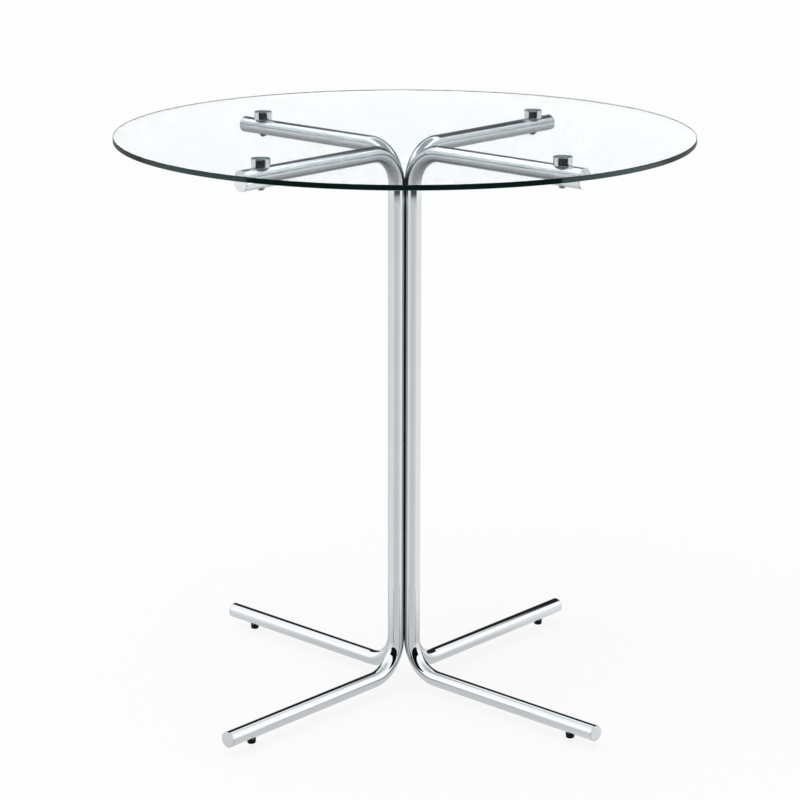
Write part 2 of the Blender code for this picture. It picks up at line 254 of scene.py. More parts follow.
def cut_thread(mesh, radius, low, high):
    """Press a 60 degree thread into the shank between two heights; its ends fade out."""
    for vertex in mesh.vertices:
        x, y, z = vertex.co
        if abs(math.hypot(x, y) - radius) > ON_SHANK or not low <= z <= high:
            continue
        phase = (z / THREAD_PITCH - math.atan2(y, x) / math.tau) % 1.0
        depth = THREAD_DEPTH * max(0.0, 1.0 - abs(2.0 * phase - 1.0) * THREAD_FLANK)
        depth *= min(1.0, (z - low) / THREAD_PITCH, (high - z) / THREAD_PITCH)
        vertex.co.x = x * (1.0 - depth / radius)
        vertex.co.y = y * (1.0 - depth / radius)
    mesh.set_sharp_from_angle(angle=SHARP_ANGLE)


def shank_heights(low, high):
    """Points up a threaded shank, close enough together for its thread."""
    count = math.ceil((high - low) / THREAD_PITCH * THREAD_STEPS)
    return [low + (high - low) * step / count for step in range(count + 1)]


def glass_disc():
    """Flat disc with a small arris along both edges; the edge band is its second material."""
    corners = [
        (0, TABLE_HEIGHT, 0),
        (GLASS_RADIUS - GLASS_ARRIS, TABLE_HEIGHT, BROKEN_EDGE),
        (GLASS_RADIUS, TABLE_HEIGHT - GLASS_ARRIS, BROKEN_EDGE),
        (GLASS_RADIUS, GLASS_UNDERSIDE + GLASS_ARRIS, BROKEN_EDGE),
        (GLASS_RADIUS - GLASS_ARRIS, GLASS_UNDERSIDE, BROKEN_EDGE),
        (0, GLASS_UNDERSIDE, 0),
    ]
    mesh = turned("glass_disc", rounded(corners, steps=2), GLASS_SIDES)
    for face in mesh.polygons:
        if abs(face.normal.z) < EDGE_BAND_LEVEL:
            face.material_index = 1
    return mesh


def tube_stations():
    """Stations (reach, height, heading, distance) down the tube's centre line, arm end first."""
    tip = ARM_REACH - CAP_THICKNESS - SEAT_GAP
    toe = LEG_REACH - CAP_THICKNESS - SEAT_GAP
    stations = []
    for reach in (tip, PUCK_REACH + SCREW_HOLE_RING, PUCK_REACH, PUCK_REACH - SCREW_HOLE_RING):
        stations.append((reach, ARM_AXIS, math.pi, tip - reach))
    distance = tip - BEND_REACH
    quarter = BEND_RADIUS * math.pi / 2
    for first, centre, start in (
        (math.pi, POST_HIGH, distance),
        (1.5 * math.pi, POST_LOW, distance + quarter + POST_HIGH - POST_LOW),
    ):
        for step in range(BEND_STEPS + 1):
            turn = 0.5 * math.pi * step / BEND_STEPS
            reach = BEND_REACH + BEND_RADIUS * math.sin(first + turn)
            height = centre - BEND_RADIUS * math.cos(first + turn)
            stations.append((reach, height, first + turn, start + BEND_RADIUS * turn))
    after = stations[-1][3]
    for reach in (FOOT_REACH - INSERT_HOLE_RING, FOOT_REACH, FOOT_REACH + INSERT_HOLE_RING, toe):
        stations.append((reach, LEG_AXIS, math.tau, after + reach - BEND_REACH))
    return stations


def from_centre_line(point):
    """Offset of a point of the tube from its centre line, and its distance along that line."""
    x, y, z = point
    tip = ARM_REACH - CAP_THICKNESS - SEAT_GAP
    quarter = BEND_RADIUS * math.pi / 2
    if x >= BEND_REACH and z > TABLE_HEIGHT / 2:
        return Vector((0, y, z - ARM_AXIS)), tip - x
    if x >= BEND_REACH:
        along = tip - BEND_REACH + 2 * quarter + POST_HIGH - POST_LOW + x - BEND_REACH
        return Vector((0, y, z - LEG_AXIS)), along
    if POST_LOW <= z <= POST_HIGH:
        return Vector((x - POST_OFFSET, y, 0)), tip - BEND_REACH + quarter + POST_HIGH - z
    upper = z > POST_HIGH
    middle = Vector((BEND_REACH, 0, POST_HIGH if upper else POST_LOW))
    spoke = Vector((x, 0, z)) - middle
    turn = math.atan2(-spoke.x, abs(spoke.z))
    on_line = middle + spoke.normalized() * BEND_RADIUS
    along = tip - BEND_REACH
    along += BEND_RADIUS * turn if upper else 2 * quarter + POST_HIGH - POST_LOW - BEND_RADIUS * turn
    return Vector((x, y, z)) - on_line, along


def bent_tube():
    """Hollow C of tube, drilled for its screw and insert, with exact normals and a map in metres.

    The map's first axis runs down the tube and its second round it.
    """
    shape = bmesh.new()
    rings = {}
    stations = tube_stations()
    for radius in (TUBE_RADIUS, BORE_RADIUS):
        rings[radius] = []
        for reach, height, heading, _ in stations:
            ring = []
            for step in range(TUBE_SIDES):
                angle = math.tau * step / TUBE_SIDES
                inward = radius * math.cos(angle)
                x = reach - inward * math.sin(heading)
                z = height + inward * math.cos(heading)
                ring.append(shape.verts.new((x, radius * math.sin(angle), z)))
            rings[radius].append(ring)
    bands = [pair for one in rings.values() for pair in zip(one, one[1:])]
    bands += [(rings[TUBE_RADIUS][end], rings[BORE_RADIUS][end]) for end in (0, -1)]
    for first, second in bands:
        for step in range(TUBE_SIDES):
            after = (step + 1) % TUBE_SIDES
            shape.faces.new((first[step], first[after], second[after], second[step]))
    screw_hole = bar(
        "screw_hole",
        SCREW_RADIUS + SEAT_GAP,
        SMALL_SIDES,
        ARM_BOTTOM - OVERSHOOT,
        ARM_TOP + OVERSHOOT,
        (PUCK_REACH, 0),
    )
    insert_hole = bar(
        "insert_hole",
        INSERT_RADIUS + SEAT_GAP,
        SMALL_SIDES,
        LEG_CLEARANCE - OVERSHOOT,
        LEG_AXIS,
        (FOOT_REACH, 0),
    )
    mesh = carved(finished("bent_tube", shape), [screw_hole, insert_hole])
    normals = [None] * len(mesh.loops)
    unwrapped = mesh.uv_layers.new(name="down_and_round")
    for face in mesh.polygons:
        outward, _ = from_centre_line(face.center)
        middle_angle = tube_angle(face.center, outward)
        for loop in face.loop_indices:
            point = mesh.vertices[mesh.loops[loop].vertex_index].co
            offset, along = from_centre_line(point)
            radial = offset.normalized()
            side = face.normal.dot(radial)
            normals[loop] = radial * math.copysign(1, side) if abs(side) > WALL_FACING else face.normal.copy()
            angle = tube_angle(point, offset)
            angle += math.tau * round((middle_angle - angle) / math.tau)
            unwrapped.data[loop].uv = (along, angle * TUBE_RADIUS)
    mesh.normals_split_custom_set(normals)
    return mesh


def tube_angle(point, offset):
    """Angle round the tube, from the inner side of the C."""
    outward = offset.x if point[0] < BEND_REACH else 0.0
    upper = point[2] > TABLE_HEIGHT / 2
    rise = offset.z if upper else -offset.z
    return math.atan2(offset.y, outward - rise)


def puck():
    """Round puck with a blind hole and a saddle that sits on the arm; its top is its second material."""
    hole = SCREW_RADIUS + SEAT_GAP
    top = GLASS_UNDERSIDE - SEAT_GAP
    base = ARM_TOP - PUCK_SADDLE_DEPTH
    hole_end = ARM_TOP + SCREW_ENGAGEMENT + TIP_CLEARANCE
    corners = [
        (0, top, 0),
        (PUCK_RADIUS - BROKEN_EDGE, top, BROKEN_EDGE),
        (PUCK_RADIUS, top - EASED_EDGE, BROKEN_EDGE),
        (PUCK_RADIUS, base + PUCK_BASE_CHAMFER, PUCK_BASE_ROUNDING),
        (PUCK_RADIUS - PUCK_BASE_CHAMFER, base, EASED_EDGE),
        (hole, base, 0),
        (hole, hole_end, 0),
        (0, hole_end, 0),
    ]
    saddle = arm_saddle(2 * PUCK_RADIUS + 2 * OVERSHOOT)
    mesh = carved(turned("puck", rounded(corners), ROUND_SIDES), [saddle])
    for face in mesh.polygons:
        if face.center.z > top - BOND_FACE_DEPTH and face.normal.z > BOND_FACE_UP:
            face.material_index = 1
    return mesh


def curved_washer():
    """Washer that is flat under the screw head and hollowed to the arm above."""
    hole = SCREW_RADIUS + SEAT_GAP
    base = ARM_BOTTOM - SEAT_GAP - WASHER_THICKNESS
    rim = ARM_AXIS - math.sqrt(SEAT_RADIUS**2 - WASHER_RADIUS**2)
    corners = [
        (WASHER_RADIUS, rim, 0),
        (WASHER_RADIUS, base, BROKEN_EDGE),
        (hole, base, CUT_EDGE),
        (hole, rim, 0),
    ]
    ring = turned("curved_washer", rounded(corners), SMALL_SIDES, closed=True)
    return carved(ring, [arm_saddle(2 * WASHER_RADIUS + 2 * OVERSHOOT)])


def arm_screw():
    """Button head screw with a hexagon socket and a threaded shank."""
    head_top = ARM_BOTTOM - WASHER_THICKNESS - 2 * SEAT_GAP
    head_base = head_top - HEAD_HEIGHT
    tip = ARM_TOP + SCREW_ENGAGEMENT
    chamfer = 0.0008
    plain_shank = 0.002
    outline = [(0, tip), (SCREW_RADIUS - chamfer, tip)]
    outline += [(SCREW_RADIUS, height) for height in reversed(shank_heights(head_top, tip - chamfer))]
    land_round_socket = 0.0008
    crown = SOCKET_WIDTH / 2 + land_round_socket
    dome = HEAD_HEIGHT - HEAD_EDGE_HEIGHT
    shoulder = [(0, head_top, 0), (HEAD_RADIUS, head_top, BROKEN_EDGE), (HEAD_RADIUS, head_base, 0)]
    outline += rounded(shoulder)[1:-1]
    for step in range(DOME_STEPS + 1):
        angle = 0.5 * math.pi * step / DOME_STEPS
        radius = crown + (HEAD_RADIUS - crown) * math.cos(angle)
        outline.append((radius, head_base + dome * (1 - math.sin(angle))))
    outline.append((0, head_base))
    mesh = turned("arm_screw", outline, THREAD_SIDES)
    cut_thread(mesh, SCREW_RADIUS, head_top + plain_shank, tip - chamfer)
    corner_radius = SOCKET_WIDTH / 2 / math.cos(math.pi / 6)
    socket = bar("hexagon_socket", corner_radius, 6, head_base - OVERSHOOT, head_base + SOCKET_DEPTH)
    return carved(mesh, [socket])


def end_cap():
    """Flat cap on a hollow stem; its outer face lies at zero and looks along +Z."""
    stem = BORE_RADIUS - SEAT_GAP
    end = -CAP_THICKNESS - CAP_STEM_LENGTH
    corners = [
        (0, 0, 0),
        (TUBE_RADIUS, 0, CAP_RIM_ROUNDING),
        (TUBE_RADIUS, -CAP_THICKNESS, BROKEN_EDGE),
        (stem, -CAP_THICKNESS, BROKEN_EDGE),
        (stem - TUMBLED_EDGE, end, TUMBLED_EDGE),
        (stem - CAP_STEM_WALL, end, EASED_EDGE),
        (stem - CAP_STEM_WALL, -CAP_THICKNESS, TUMBLED_EDGE),
        (0, -CAP_THICKNESS, 0),
    ]
    return turned("end_cap", rounded(corners), ROUND_SIDES)


def foot_insert():
    """Rivet nut: a flange under the leg, a body through its wall and a bulge set inside."""
    thread = SCREW_RADIUS + SEAT_GAP
    flange_top = LEG_CLEARANCE - SEAT_GAP
    flange_base = flange_top - INSERT_FLANGE_THICKNESS
    bulge_base = LEG_AXIS - math.sqrt(BORE_RADIUS**2 - INSERT_BULGE_RADIUS**2) + 2 * SEAT_GAP
    top = LEG_CLEARANCE + INSERT_LENGTH
    corners = [
        (thread, flange_base, BROKEN_EDGE),
        (INSERT_FLANGE_RADIUS, flange_base, EASED_EDGE),
        (INSERT_FLANGE_RADIUS, flange_top, BROKEN_EDGE),
        (INSERT_RADIUS, flange_top, CUT_EDGE),
        (INSERT_RADIUS, bulge_base, BROKEN_EDGE),
        (INSERT_BULGE_RADIUS, bulge_base, TUMBLED_EDGE),
        (INSERT_BULGE_RADIUS, bulge_base + INSERT_BULGE_HEIGHT / 2, TUMBLED_EDGE),
        (INSERT_RADIUS, bulge_base + INSERT_BULGE_HEIGHT, TUMBLED_EDGE),
        (INSERT_RADIUS, top, BROKEN_EDGE),
        (thread, top, BROKEN_EDGE),
    ]
    return turned("foot_insert", rounded(corners), SMALL_SIDES, closed=True)


def foot_pad():
    """Tapered pad moulded over the stud's head, with a shallow nest for the insert's flange."""
    top = LEG_CLEARANCE - SEAT_GAP
    nest = INSERT_FLANGE_RADIUS + SEAT_GAP
    nest_floor = top - INSERT_FLANGE_THICKNESS - SEAT_GAP
    neck = SCREW_RADIUS + SEAT_GAP
    pocket = STUD_HEAD_RADIUS + SEAT_GAP
    pocket_top = PAD_FLOOR + STUD_HEAD_HEIGHT + 2 * SEAT_GAP
    corners = [
        (0, 0, 0),
        (PAD_BASE_RADIUS, 0, PAD_BASE_ROUNDING),
        (PAD_TOP_RADIUS, top, EASED_EDGE),
        (nest, top, CUT_EDGE),
        (nest, nest_floor, 0),
        (neck, nest_floor, BROKEN_EDGE),
        (neck, pocket_top, 0),
        (pocket, pocket_top, 0),
        (pocket, PAD_FLOOR, 0),
        (0, PAD_FLOOR, 0),
    ]
    return turned("foot_pad", rounded(corners), SMALL_SIDES)


def foot_stud():
    """Threaded stud with a round head, long enough to stay in its insert at full travel."""
    base = PAD_FLOOR + SEAT_GAP
    head_top = base + STUD_HEAD_HEIGHT
    tip = LEG_CLEARANCE + INSERT_LENGTH + FOOT_TRAVEL
    chamfer = 0.0006
    plain_shank = 0.001
    head = [
        (0, base, 0),
        (STUD_HEAD_RADIUS, base, EASED_EDGE),
        (STUD_HEAD_RADIUS, head_top, EASED_EDGE),
        (0, head_top, 0),
    ]
    outline = rounded(head)[:-1]
    outline += [(SCREW_RADIUS, height) for height in shank_heights(head_top, tip - chamfer)]
    outline += [(SCREW_RADIUS - chamfer, tip), (0, tip)]
    mesh = turned("foot_stud", outline, THREAD_SIDES)
    cut_thread(mesh, SCREW_RADIUS, head_top + plain_shank, tip - chamfer)
    return mesh


# Finishes

GLASS_IOR = 1.52


def linear(code):
    """Linear colour with alpha from an sRGB hex value."""
    channels = [int(code[index : index + 2], 16) / 255 for index in (1, 3, 5)]
    return (*[c / 12.92 if c <= 0.04045 else ((c + 0.055) / 1.055) ** 2.4 for c in channels], 1.0)


def add(tree, kind, inputs=None, levels=(), **settings):
    """Add a shader node with its settings; each input is a value, or a node or output that feeds it.

    Levels are (position, grey value) stops for a node with a ramp.
    """
    node = tree.nodes.new("ShaderNode" + kind)
    for name, value in settings.items():
        setattr(node, name, value)
    while levels and len(node.color_ramp.elements) < len(levels):
        node.color_ramp.elements.new(0.5)
    for stop, (position, level) in enumerate(levels):
        node.color_ramp.elements[stop].position = position
        node.color_ramp.elements[stop].color = (level, level, level, 1.0)
    for name, value in (inputs or {}).items():
        if isinstance(value, bpy.types.Node):
            value = value.outputs[0]
        if isinstance(value, bpy.types.NodeSocket):
            tree.links.new(value, node.inputs[name])
        else:
            node.inputs[name].default_value = value
    return node


def blank_material(name):
    """A new material and its empty node tree."""
    material = bpy.data.materials.new(name)
    material.use_nodes = True
    material.node_tree.nodes.clear()
    return material, material.node_tree


def from_own_axis(tree):
    """Outputs for the place on a turned piece, and for its distance from the piece's axis."""
    where = add(tree, "TexCoord")
    flat = add(tree, "VectorMath", {0: where.outputs["Object"], 1: (1, 1, 0)}, operation="MULTIPLY")
    radius = add(tree, "VectorMath", {0: flat}, operation="LENGTH")
    return where.outputs["Object"], radius.outputs["Value"]


def bright_chrome_plate():
    """Decorative chrome over nickel on bent and polished steel tube.

    A cool, near perfect mirror; faint draw lines run down the tube and wiping leaves a thin film.
    """
    material, tree = blank_material("bright_chrome_plate")
    where = add(tree, "UVMap", uv_map="down_and_round")
    # Draw lines lie about 0.4 mm apart and run some 120 mm; drawn deeper than real, so that they show
    drawn = add(tree, "Mapping", {"Vector": where, "Scale": (8, 2500, 1)})
    lines = add(tree, "TexNoise", {"Vector": drawn, "Scale": 1.0, "Detail": 2.0})
    # Ripples from bending and polishing, about 25 mm long
    ripples = add(tree, "TexNoise", {"Vector": where, "Scale": 40.0, "Detail": 1.0})
    rippled = add(tree, "Bump", {"Height": ripples, "Strength": 1.0, "Distance": 0.00002})
    lined = add(tree, "Bump", {"Height": lines, "Normal": rippled, "Strength": 1.0, "Distance": 4e-7})
    # Film left by a cloth, in patches of about 60 mm
    film = add(tree, "TexNoise", {"Vector": where, "Scale": 17.0, "Detail": 5.0, "Roughness": 0.6})
    rough = add(
        tree,
        "MapRange",
        {"Value": film, "From Min": 0.35, "From Max": 0.75, "To Min": 0.01, "To Max": 0.035},
    )
    tint = add(tree, "Mix", {"Factor": film, 6: linear("#D3D8DB"), 7: linear("#DADEE0")}, data_type="RGBA")
    shader = add(
        tree,
        "BsdfPrincipled",
        {"Base Color": tint.outputs[2], "Metallic": 1.0, "Roughness": rough, "Normal": lined},
    )
    add(tree, "OutputMaterial", {"Surface": shader})
    return material


def chromed_pressed_cap():
    """Chrome plate on a pressed steel cap.

    Flatter and softer than the tube, with fine rings from the turning tool that faced it.
    """
    material, tree = blank_material("chromed_pressed_cap")
    whole, radius = from_own_axis(tree)
    # Facing rings about 0.25 mm apart
    rings = add(tree, "TexNoise", {"W": radius, "Scale": 4000.0}, noise_dimensions="1D")
    ringed = add(tree, "Bump", {"Height": rings, "Strength": 1.0, "Distance": 1e-6})
    # Plating orange peel of about 3 mm
    peel = add(tree, "TexNoise", {"Vector": whole, "Scale": 330.0, "Detail": 3.0})
    rough = add(
        tree,
        "MapRange",
        {"Value": peel, "From Min": 0.3, "From Max": 0.7, "To Min": 0.1, "To Max": 0.2},
    )
    tint = add(tree, "Mix", {"Factor": peel, 6: linear("#CDD3D6"), 7: linear("#D6DADC")}, data_type="RGBA")
    shader = add(
        tree,
        "BsdfPrincipled",
        {"Base Color": tint.outputs[2], "Metallic": 1.0, "Roughness": rough, "Normal": ringed},
    )
    add(tree, "OutputMaterial", {"Surface": shader})
    return material


def turned_stainless(name, dark, light, softest, roughest, spacing):
    """Stainless steel turned on a lathe; the tool's rings stretch each reflection across them.

    Spacing is the feed from ring to ring. The rings run on from each flat face up its side.
    """
    material, tree = blank_material(name)
    whole, radius = from_own_axis(tree)
    height = add(tree, "SeparateXYZ", {"Vector": whole})
    travel = add(tree, "Math", {0: radius, 1: height.outputs["Z"]}, operation="ADD")
    rings = add(tree, "TexNoise", {"W": travel, "Scale": 1 / spacing, "Detail": 2.0}, noise_dimensions="1D")
    ringed = add(tree, "Bump", {"Height": rings, "Strength": 1.0, "Distance": spacing / 300})
    # Handling marks about 4 mm across
    stains = add(tree, "TexNoise", {"Vector": whole, "Scale": 250.0, "Detail": 4.0})
    rough = add(
        tree,
        "MapRange",
        {"Value": stains, "From Min": 0.3, "From Max": 0.7, "To Min": softest, "To Max": roughest},
    )
    tint = add(tree, "Mix", {"Factor": rings, 6: linear(dark), 7: linear(light)}, data_type="RGBA")
    around = add(tree, "Tangent", direction_type="RADIAL", axis="Z")
    shader = add(
        tree,
        "BsdfPrincipled",
        {
            "Base Color": tint.outputs[2],
            "Metallic": 1.0,
            "Roughness": rough,
            "Normal": ringed,
            "Anisotropic": 0.7,
            "Anisotropic Rotation": 0.25,
            "Tangent": around,
        },
    )
    add(tree, "OutputMaterial", {"Surface": shader})
    return material


def painted_light_steel_face():
    """Ground stainless steel under a cured film of clear adhesive.

    Its pale grey-green is painted light, lifted to stand in for the light that the glass keeps from the face;
    it darkens to dark grey at the rim.
    """
    material, tree = blank_material("ground_steel_with_painted_light")
    whole, radius = from_own_axis(tree)
    painted_light_middle = add(tree, "MapRange", {"Value": radius, "From Min": PUCK_RADIUS, "From Max": PAINTED_LIGHT_RADIUS})
    # Grinding scratches lie under 0.1 mm apart, too fine for the picture, so they are drawn about 1 mm apart
    grinding = add(tree, "TexNoise", {"Vector": whole, "Scale": 900.0, "Detail": 5.0, "Roughness": 0.6})
    # Painted light: the pale grey-green stands in for light that the glass keeps from the face; the grinding
    # varies it
    tint = add(tree, "Mix", {0: grinding, 6: linear("#CFE4E6"), 7: linear("#DDEFF1")}, data_type="RGBA")
    # Dark grey at the rim, rising to the full pale painted light in the middle
    colour = add(tree, "Mix", {0: painted_light_middle, 6: linear("#24292B"), 7: tint.outputs[2]}, data_type="RGBA")
    rough = add(tree, "MapRange", {"Value": grinding, "To Min": 0.4, "To Max": 0.6})
    shine = add(tree, "Math", {0: painted_light_middle, 1: 0.4}, operation="MULTIPLY")
    ground = add(tree, "Bump", {"Height": grinding, "Strength": 0.3, "Distance": 0.00002})
    shader = add(
        tree,
        "BsdfPrincipled",
        {"Base Color": colour.outputs[2], "Roughness": rough, "Normal": ground, "Specular IOR Level": shine},
    )
    add(tree, "OutputMaterial", {"Surface": shader})
    return material


def bright_zinc_plate():
    """Bright zinc plate on steel: a pale blue-grey with a fine crystal bloom."""
    material, tree = blank_material("bright_zinc_plate")
    whole = add(tree, "TexCoord").outputs["Object"]
    # Crystals about 1.5 mm across
    crystals = add(tree, "TexVoronoi", {"Vector": whole, "Scale": 650.0})
    # Bloom in clouds of about 6 mm
    bloom = add(tree, "TexNoise", {"Vector": whole, "Scale": 180.0, "Detail": 4.0})
    tint = add(
        tree,
        "Mix",
        {"Factor": crystals.outputs["Color"], 6: linear("#B4B9BF"), 7: linear("#C9CDD0")},
        data_type="RGBA",
    )
    rough = add(
        tree,
        "MapRange",
        {"Value": bloom, "From Min": 0.3, "From Max": 0.7, "To Min": 0.25, "To Max": 0.42},
    )
    dimpled = add(tree, "Bump", {"Height": bloom, "Strength": 1.0, "Distance": 0.00001})
    shader = add(
        tree,
        "BsdfPrincipled",
        {"Base Color": tint.outputs[2], "Metallic": 1.0, "Roughness": rough, "Normal": dimpled},
    )
    add(tree, "OutputMaterial", {"Surface": shader})
    return material


def moulded_nylon():
    """Black nylon from an eroded mould: a dull sheen over a fine grain, greyer where it rubs."""
    material, tree = blank_material("moulded_black_nylon")
    whole = add(tree, "TexCoord").outputs["Object"]
    # Spark-eroded grain about 0.3 mm across
    grain = add(tree, "TexNoise", {"Vector": whole, "Scale": 3300.0, "Detail": 2.0})
    grained = add(tree, "Bump", {"Height": grain, "Strength": 1.0, "Distance": 0.00002})
    # Rubbed patches about 2.5 mm across
    scuffs = add(tree, "TexNoise", {"Vector": whole, "Scale": 400.0, "Detail": 5.0})
    rough = add(
        tree,
        "MapRange",
        {"Value": scuffs, "From Min": 0.3, "From Max": 0.7, "To Min": 0.38, "To Max": 0.6},
    )
    tint = add(
        tree,
        "Mix",
        {"Factor": scuffs, 6: linear("#050606"), 7: linear("#0E0F10")},
        data_type="RGBA",
    )
    shader = add(
        tree,
        "BsdfPrincipled",
        {
            "Base Color": tint.outputs[2],
            "Roughness": rough,
            "IOR": 1.53,
            "Specular IOR Level": 0.1,
            "Normal": grained,
        },
    )
    add(tree, "OutputMaterial", {"Surface": shader})
    return material


def float_glass():
    """Clear float glass: fire-polished faces, so sharp reflections, and a faint green cast.

    Lamps shine through it without bending, which keeps its shadow pale.
    """
    material, tree = blank_material("clear_float_glass")
    whole = add(tree, "TexCoord").outputs["Object"]
    # Wiping film in patches of about 80 mm
    film = add(tree, "TexNoise", {"Vector": whole, "Scale": 12.0, "Detail": 4.0})
    rough = add(
        tree,
        "MapRange",
        {"Value": film, "From Min": 0.5, "From Max": 0.8, "To Min": 0.0, "To Max": 0.01},
    )
    # Draw ream of the float line, about 200 mm long
    ream = add(tree, "TexNoise", {"Vector": whole, "Scale": 5.0, "Detail": 0.0})
    waved = add(tree, "Bump", {"Height": ream, "Strength": 1.0, "Distance": 0.00002})
    shader = add(
        tree,
        "BsdfPrincipled",
        {
            "Base Color": linear("#FAFEFF"),
            "Roughness": rough,
            "IOR": GLASS_IOR,
            "Transmission Weight": 1.0,
            "Normal": waved,
        },
    )
    path = add(tree, "LightPath")
    clear = add(tree, "BsdfTransparent", {"Color": linear("#F0F8F5")})
    pane = add(tree, "MixShader", {"Fac": path.outputs["Is Shadow Ray"], 1: shader, 2: clear})
    add(tree, "OutputMaterial", {"Surface": pane})
    return material


def polished_glass_edge():
    """Ground and polished edge of float glass: the disc's whole depth of iron green, near black."""
    material, tree = blank_material("polished_glass_edge")
    whole = add(tree, "TexCoord").outputs["Object"]
    # Polishing wheel marks about 1 mm apart
    marks = add(tree, "TexNoise", {"Vector": whole, "Scale": 900.0, "Detail": 2.0})
    rough = add(
        tree,
        "MapRange",
        {"Value": marks, "From Min": 0.3, "From Max": 0.7, "To Min": 0.03, "To Max": 0.1},
    )
    # The green's depth varies over some 40 mm
    depth = add(tree, "TexNoise", {"Vector": whole, "Scale": 25.0, "Detail": 3.0})
    tint = add(tree, "Mix", {"Factor": depth, 6: linear("#050F0E"), 7: linear("#0B1B1A")}, data_type="RGBA")
    shader = add(
        tree,
        "BsdfPrincipled",
        {
            "Base Color": tint.outputs[2],
            "Roughness": rough,
            "IOR": GLASS_IOR,
            "Specular Tint": linear("#BFE4EA"),
        },
    )
    matt = add(tree, "BsdfDiffuse", {"Color": tint.outputs[2]})
    # Seen at a low angle the edge's fine grind scatters what its polish would mirror
    gloss = add(tree, "Fresnel", {"IOR": GLASS_IOR})
    lost = add(tree, "MapRange", {"Value": gloss, "From Min": 0.055, "From Max": 0.13, "To Max": 0.75})
    worn = add(tree, "MixShader", {"Fac": lost, 1: shader, 2: matt})
    add(tree, "OutputMaterial", {"Surface": worn})
    return material


# The table's pieces


def place(name, mesh, matrix, body, finishes, node):
    """A fine piece in the place of its CAD node, riding on the node's body."""
    piece = bpy.data.objects.new(name, mesh)
    bpy.context.scene.collection.objects.link(piece)
    piece.matrix_world = matrix
    if not mesh.materials:
        for finish in finishes:
            mesh.materials.append(finish)
    if not mesh.has_custom_normals:
        even = piece.modifiers.new("even_shading", "WEIGHTED_NORMAL")
        even.keep_sharp = True
    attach(piece, body)
    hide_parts(node)
    return piece


def dress_table():
    """Fine pieces in the place of all nodes but the three hidden bars, which only take their finish."""
    chrome = bright_chrome_plate()
    cap_chrome = chromed_pressed_cap()
    puck_steel = turned_stainless("turned_polished_stainless", "#D2D6D8", "#DFE3E5", 0.05, 0.1, 0.00025)
    puck_faces = [puck_steel, painted_light_steel_face()]
    screw_steel = turned_stainless("cold_formed_stainless", "#8D8F91", "#A5A7A8", 0.28, 0.4, 0.0004)
    zinc = bright_zinc_plate()
    nylon = moulded_nylon()

    place(
        "glass_disc",
        glass_disc(),
        Matrix.Identity(4),
        "table",
        [float_glass(), polished_glass_edge()],
        "glass_top",
    )
    for level in ("low", "middle", "high"):
        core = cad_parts[f"post_core_{level}"]
        core.data.materials.clear()
        core.data.materials.append(zinc)

    tube = bent_tube()
    cap = end_cap()
    puck_mesh = puck()
    washer = curved_washer()
    screw = arm_screw()
    insert = foot_insert()
    pad = foot_pad()
    stud = foot_stud()
    facing_out = Matrix.Rotation(math.pi / 2, 4, "Y")
    for corner, turn in CORNERS.items():
        diagonal = Matrix.Rotation(turn, 4, "Z")
        at_puck = diagonal @ Matrix.Translation((PUCK_REACH, 0, 0))
        at_foot = diagonal @ Matrix.Translation((FOOT_REACH, 0, 0))
        arm_end = diagonal @ Matrix.Translation((ARM_REACH, 0, ARM_AXIS)) @ facing_out
        leg_end = diagonal @ Matrix.Translation((LEG_REACH, 0, LEG_AXIS)) @ facing_out
        foot = f"foot_{corner}"
        pieces = (
            ("bent_tube", tube, diagonal, "table", [chrome], "chrome_tube", "tube"),
            ("cap_of_arm", cap, arm_end, "table", [cap_chrome], "chrome_cap", "arm_cap"),
            ("cap_of_leg", cap, leg_end, "table", [cap_chrome], "chrome_cap", "leg_cap"),
            ("turned_puck", puck_mesh, at_puck, "table", puck_faces, "polished_puck", "glass_puck"),
            ("washer", washer, at_puck, "table", [screw_steel], "screw_steel", "saddle_washer"),
            ("arm_screw", screw, at_puck, "table", [screw_steel], "screw_steel", "puck_screw"),
            ("rivet_nut", insert, at_foot, "table", [zinc], "zinc_steel", "foot_insert"),
            ("pad", pad, at_foot, foot, [nylon], "foot_nylon", "foot_pad"),
            ("stud", stud, at_foot, foot, [zinc], "zinc_steel", "foot_stud"),
        )
        for name, mesh, matrix, body, finishes, record_slot, node in pieces:
            place(f"{name}_{corner}", mesh, matrix, body, finishes, f"{node}_{corner}")


# Studio

# How much brighter the white behind the glass is, to make up for what its faces mirror at a low angle:
# beyond the floor, and (metres from the middle, level) on the floor
BEHIND_GLASS = 3.0
FLOOR_BEHIND_GLASS = [(4.4, 2.5), (5.4, 2.88), (6.4, 3.3), (6.7, 3.75)]

# What chrome mirrors: (sine of elevation, level) for walls and ceiling, in the open and in the arms
WALL_LEVELS = [
    (0.0, 0.95),
    (0.12, 1.0),
    (0.2, 1.45),
    (0.45, 1.45),
    (0.64, 1.33),
    (0.8, 1.3),
    (0.9, 1.0),
    (1.0, 0.8),
]
WALL_IN_ARMS = [
    (0.0, 2.6),
    (0.12, 3.4),
    (0.25, 3.2),
    (0.4, 2.2),
    (0.6, 3.4),
    (0.68, 4.7),
    (0.78, 5.1),
    (0.88, 1.6),
    (1.0, 1.0),
]
# What soft light the walls give, which reaches no mirror
SOFT_LIGHT_LEVEL = 0.65

# The dark end wall behind the table, as angles from +Y towards +X and up: its middle, half its width, its
# top and how soft its sides and top are
END_WALL_MIDDLE = math.radians(12)
END_WALL_HALF = math.radians(47)
END_WALL_SOFT = math.radians(5)
END_WALL_TOP = math.radians(43.8)
END_WALL_TOP_SOFT = math.radians(1.3)
# It fades in between these two elevations, given as sines, over a lit skirting
END_WALL_FOOT = (math.sin(math.radians(1)), math.sin(math.radians(5)))
# How much light it takes away, in the open and in the arms, and how much higher it stands in the arms
END_WALL_DEPTH = 0.985
END_WALL_DEPTH_IN_ARMS = 0.93
END_WALL_RISE_IN_ARMS = 0.012

# The floor lies just below where a fully screwed out foot reaches, so that no pose hides a foot in it
FLOOR_HALF_SIDE = 40
FLOOR_HEIGHT = -0.0082
